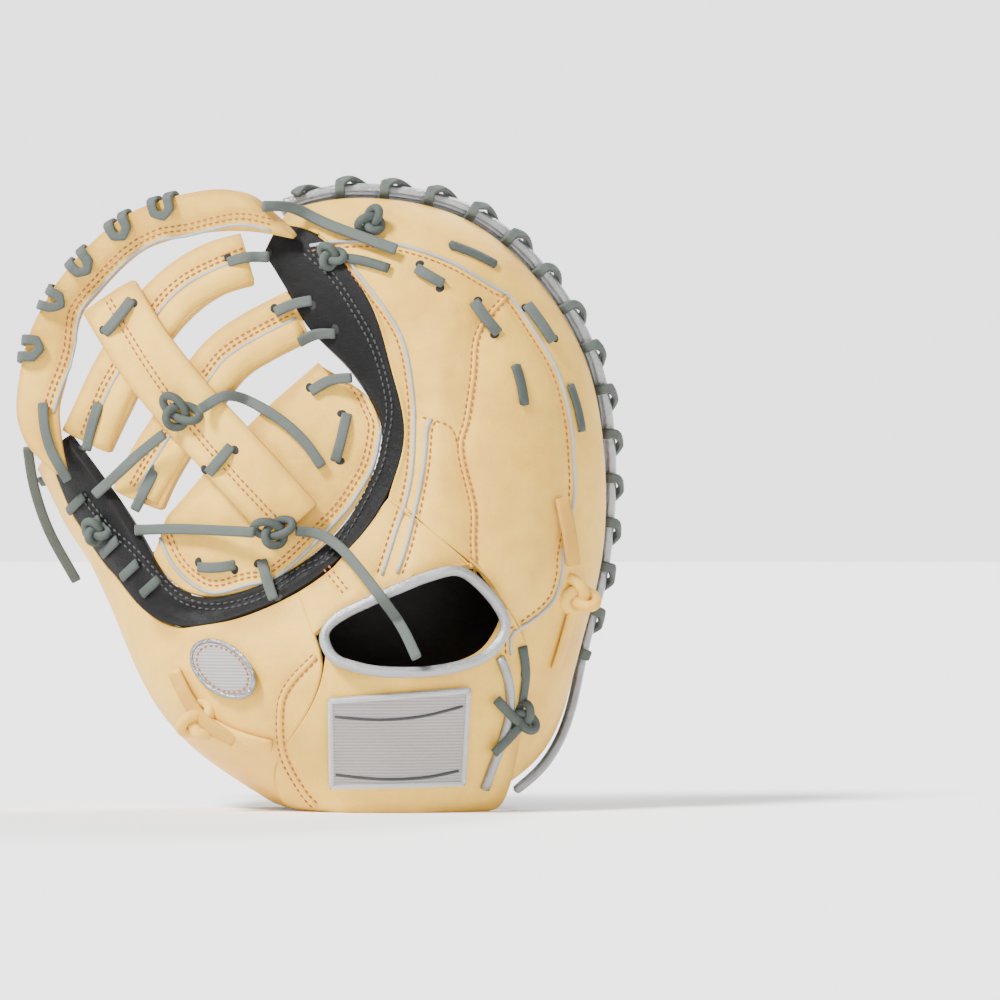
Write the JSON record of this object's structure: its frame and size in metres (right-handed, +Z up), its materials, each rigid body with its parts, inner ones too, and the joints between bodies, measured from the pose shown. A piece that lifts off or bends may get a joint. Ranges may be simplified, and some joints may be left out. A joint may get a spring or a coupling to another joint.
{
  "type": "first baseman mitt",
  "caption": "First baseman mitt for the right hand with black palm, camel back, laced web and silver rim binding, standing on its heel and wrist strap.",
  "frame": {"origin": "on the floor under the middle of the mitt, measured without its free lace ends", "axes": "+Z up to the fingertips, the back of the mitt faces -Y, the pocket opens to +Y, thumb at -X"},
  "size_m": [0.2946, 0.1609, 0.3053],
  "materials": {
    "palm_leather": "smooth satin",
    "back_leather": "smooth satin",
    "silver_leather": "metallic coated",
    "lace_leather": "rawhide, matte",
    "patch_cloth": "ribbed weave"
  },
  "bodies": {
    "root": {"palm": "palm_leather", "finger_back": "back_leather", "knuckle_panel": "back_leather", "wrist_strap": "back_leather", "thumb_back": "back_leather", "palm_rim_binding": "silver_leather", "finger_rim_binding": "silver_leather", "thumb_rim_binding": "silver_leather", "web_band": "back_leather", "web_bar_upper": "back_leather", "web_bar_lower": "back_leather", "web_base": "back_leather", "web_post": "back_leather", "wrist_patch": "patch_cloth", "thumb_patch": "patch_cloth", "opening_binding": "silver_leather", "web_band_lace": "lace_leather", "finger_rim_lace": "lace_leather", "heel_lace": "lace_leather", "thumb_rim_lace": "lace_leather", "post_lace_top": "lace_leather", "post_lace_middle": "lace_leather", "base_lace_right": "lace_leather", "base_lace_left": "lace_leather", "finger_lace_top": "lace_leather", "finger_lace_side": "lace_leather", "finger_lace_rim": "lace_leather", "bar_lace_upper": "lace_leather", "bar_lace_middle": "lace_leather", "bar_lace_lower": "lace_leather", "base_lace_tip": "lace_leather", "thumb_lace_upper": "lace_leather", "thumb_lace_lower": "lace_leather", "finger_tip_lace": "lace_leather", "thumb_tip_lace": "lace_leather", "base_lace_bottom": "lace_leather", "post_knot": "lace_leather", "base_knot": "lace_leather", "finger_tip_knot": "lace_leather", "thumb_knot": "lace_leather", "wrist_knot": "lace_leather", "thumb_tie": "back_leather", "finger_tie": "back_leather", "post_lace_end_short": "lace_leather", "post_lace_end_long": "lace_leather", "base_lace_end_left": "lace_leather", "base_lace_end_right": "lace_leather", "thumb_lace_end": "lace_leather"}
  },
  "joints": []
}
